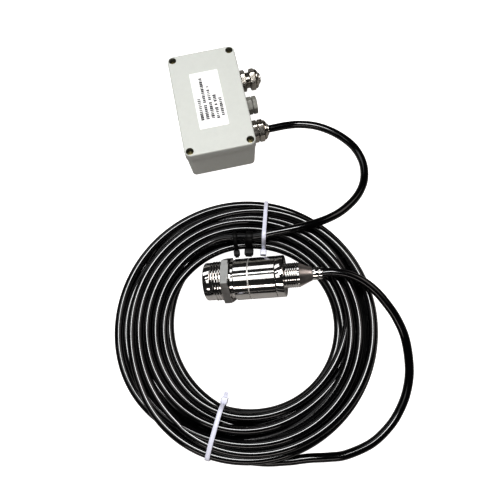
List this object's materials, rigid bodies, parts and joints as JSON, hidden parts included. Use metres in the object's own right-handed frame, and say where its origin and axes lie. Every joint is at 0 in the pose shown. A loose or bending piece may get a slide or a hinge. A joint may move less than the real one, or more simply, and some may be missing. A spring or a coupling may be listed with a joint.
{
  "type": "ultrasonic distance sensor",
  "caption": "Threaded stainless ultrasonic probe on a coiled black cable, wired through a cable gland into a grey junction box with a screwed lid.",
  "frame": {"origin": "centre of the junction box's back face, on the surface that it lies on", "axes": "+X out of the box wall with the glands, +Y along the box's length, away from the coil, +Z out of the lid"},
  "size_m": [0.2477, 0.3796, 0.045],
  "materials": {
    "box_grey": "fine satin",
    "label_white": "satin",
    "gasket_rubber": "matte",
    "screw_brass": "dull passivated",
    "insert_brass": "machined",
    "board_green": "solder resist",
    "terminal_green": "moulded",
    "nickel": "nickel plate",
    "nylon_white": "moulded",
    "vent_grey": "moulded",
    "membrane_white": "felt",
    "stainless": "turned and polished",
    "window_epoxy": "cast",
    "ceramic_piezo": "fired",
    "backing_grey": "matte",
    "cable_black": "glossy jacket",
    "tie_white": "moulded nylon",
    "tie_black": "moulded nylon",
    "wire_brown": "insulation",
    "wire_blue": "insulation",
    "wire_yellow": "insulation"
  },
  "bodies": {
    "base": {"box_base": "box_grey", "screw_insert_1": "insert_brass", "screw_insert_2": "insert_brass", "screw_insert_3": "insert_brass", "screw_insert_4": "insert_brass", "circuit_board": "board_green", "terminal_block": "terminal_green", "wire_brown": "wire_brown", "wire_blue": "wire_blue", "wire_yellow": "wire_yellow", "gland_upper_washer": "gasket_rubber", "gland_upper_lock_nut": "nickel", "gland_upper_body": "nickel", "gland_lower_washer": "gasket_rubber", "gland_lower_lock_nut": "nickel", "gland_lower_body": "nickel", "vent_washer": "gasket_rubber", "vent_lock_nut": "nickel", "vent_body": "vent_grey", "vent_membrane": "membrane_white", "vent_cap": "vent_grey", "probe_nose": "stainless", "sensing_window": "window_epoxy", "window_seal": "gasket_rubber", "piezo_disc": "ceramic_piezo", "backing_block": "backing_grey", "probe_body_tube": "stainless", "body_seal_front": "gasket_rubber", "body_seal_rear": "gasket_rubber", "probe_board": "board_green", "probe_tail": "stainless", "tail_seal": "gasket_rubber", "cable_ferrule": "stainless", "cable_box_lead": "cable_black", "cable_coil": "cable_black", "cable_probe_lead": "cable_black", "cable_tie_top": "tie_white", "cable_tie_bottom": "tie_white", "cable_tie_probe_left": "tie_black", "cable_tie_probe_right": "tie_black"},
    "lid": {"box_lid": "box_grey", "lid_gasket": "gasket_rubber", "label": "label_white"},
    "screw_1": {"lid_screw_1": "screw_brass"},
    "screw_2": {"lid_screw_2": "screw_brass"},
    "screw_3": {"lid_screw_3": "screw_brass"},
    "screw_4": {"lid_screw_4": "screw_brass"},
    "upper_clamp": {"gland_upper_claw": "nylon_white", "gland_upper_seal": "gasket_rubber", "blanking_plug": "nylon_white"},
    "upper_nut": {"gland_upper_nut": "nickel"},
    "lower_clamp": {"gland_lower_claw": "nylon_white", "gland_lower_seal": "gasket_rubber"},
    "lower_nut": {"gland_lower_nut": "nickel"}
  },
  "joints": [
    {"name": "lid_lift", "type": "slide", "parent": "base", "child": "lid", "axis": [0, 0, 1], "range_m": [0, 0.05]},
    {"name": "screw_1_turn", "type": "hinge", "parent": "lid", "child": "screw_1", "pos_m": [0.0275, 0.05, 0.04], "axis": [0, 0, 1], "continuous": true},
    {"name": "screw_2_turn", "type": "hinge", "parent": "lid", "child": "screw_2", "pos_m": [-0.0275, 0.05, 0.04], "axis": [0, 0, 1], "continuous": true},
    {"name": "screw_3_turn", "type": "hinge", "parent": "lid", "child": "screw_3", "pos_m": [-0.0275, -0.05, 0.04], "axis": [0, 0, 1], "continuous": true},
    {"name": "screw_4_turn", "type": "hinge", "parent": "lid", "child": "screw_4", "pos_m": [0.0275, -0.05, 0.04], "axis": [0, 0, 1], "continuous": true},
    {"name": "upper_clamp_slide", "type": "slide", "parent": "base", "child": "upper_clamp", "axis": [1, 0, 0], "range_m": [-0.004, 0]},
    {"name": "upper_nut_turn", "type": "hinge", "parent": "upper_clamp", "child": "upper_nut", "pos_m": [0.046, 0.0305, 0.016], "axis": [1, 0, 0], "range_deg": [-960, 0]},
    {"name": "lower_clamp_slide", "type": "slide", "parent": "base", "child": "lower_clamp", "axis": [1, 0, 0], "range_m": [0, 0.004]},
    {"name": "lower_nut_turn", "type": "hinge", "parent": "lower_clamp", "child": "lower_nut", "pos_m": [0.042, -0.0285, 0.016], "axis": [1, 0, 0], "range_deg": [0, 960]}
  ],
  "couplings": [
    {"joint": "upper_clamp_slide", "follows": "upper_nut_turn", "m_per_rad": 0.00023873},
    {"joint": "lower_clamp_slide", "follows": "lower_nut_turn", "m_per_rad": 0.00023873}
  ]
}
